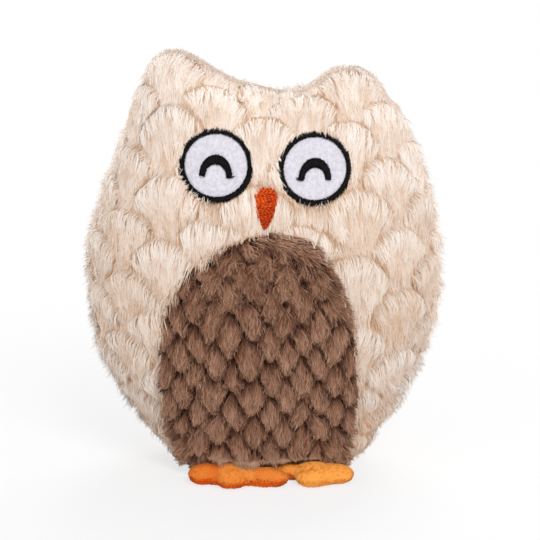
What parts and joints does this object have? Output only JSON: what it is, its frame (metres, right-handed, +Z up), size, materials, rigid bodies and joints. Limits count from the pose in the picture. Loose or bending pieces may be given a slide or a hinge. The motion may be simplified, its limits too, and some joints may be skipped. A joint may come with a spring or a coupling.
{
  "type": "plush owl",
  "caption": "Sitting plush owl with scalloped pile, a fleecy belly patch, round stitched eyes, a stitched beak and soft three-toed feet.",
  "frame": {"origin": "middle of the flat base on which the owl stands", "axes": "+Z up, the beak looks along -Y, +X to the viewer's right; the body is tallest along Z and thinnest along Y"},
  "size_m": [0.1817, 0.1095, 0.2181],
  "materials": {
    "cream_plush": "long combed pile, embossed in scallops",
    "brown_plush": "fleecy pile in pointed tufts",
    "orange_fleece": "short brushed pile",
    "white_felt": "matt needled felt",
    "black_thread": "satin-stitched thread",
    "orange_thread": "satin-stitched thread",
    "fibre_fill": "loose polyester fibre"
  },
  "bodies": {
    "body": {"front_panel": "cream_plush", "back_panel": "cream_plush", "belly_panel": "brown_plush", "base_panel": "cream_plush", "side_seam": "cream_plush", "belly_seam": "brown_plush", "base_seam": "cream_plush", "body_fill": "fibre_fill", "beak": "orange_thread", "eye_disc_left": "white_felt", "eye_ring_left": "black_thread", "eye_arc_left": "black_thread", "eye_disc_right": "white_felt", "eye_ring_right": "black_thread", "eye_arc_right": "black_thread"},
    "foot_left": {"foot_left_top": "orange_fleece", "foot_left_sole": "orange_fleece", "foot_left_fill": "fibre_fill"},
    "foot_right": {"foot_right_top": "orange_fleece", "foot_right_sole": "orange_fleece", "foot_right_fill": "fibre_fill"}
  },
  "joints": [
    {"name": "foot_left_flap", "type": "hinge", "parent": "body", "child": "foot_left", "pos_m": [-0.0183, -0.03493, 0.005], "axis": [-1, 0, 0], "range_deg": [-30, 40]},
    {"name": "foot_right_flap", "type": "hinge", "parent": "body", "child": "foot_right", "pos_m": [0.022, -0.03493, 0.005], "axis": [-1, 0, 0], "range_deg": [-30, 40]}
  ]
}
